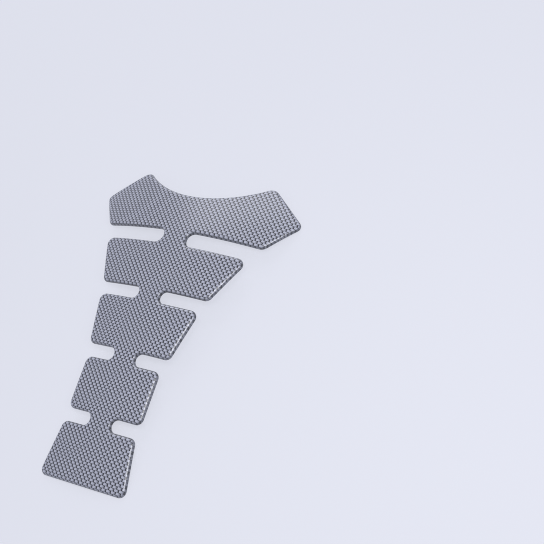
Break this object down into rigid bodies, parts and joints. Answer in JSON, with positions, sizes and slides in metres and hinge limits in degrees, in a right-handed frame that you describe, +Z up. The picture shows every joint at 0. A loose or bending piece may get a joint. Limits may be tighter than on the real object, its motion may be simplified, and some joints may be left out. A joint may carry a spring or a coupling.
{
  "type": "motorcycle tank pad",
  "caption": "Self-adhesive protective pad for a motorcycle fuel tank: a ribbed spine under a flared wing, bent to the tank's crown.",
  "frame": {"origin": "bottom centre of the bounding box, on the plane that the wing's outer corners and the tail's corners rest on", "axes": "+X across the pad, +Y along its spine from the tail to the wing, +Z up, out of the domed face"},
  "size_m": [0.1552, 0.2112, 0.0165],
  "materials": {
    "resin_over_film": "satin clear resin over a silver-grey woven-look film"
  },
  "bodies": {
    "root": {"tank_pad": "resin_over_film"}
  },
  "joints": []
}
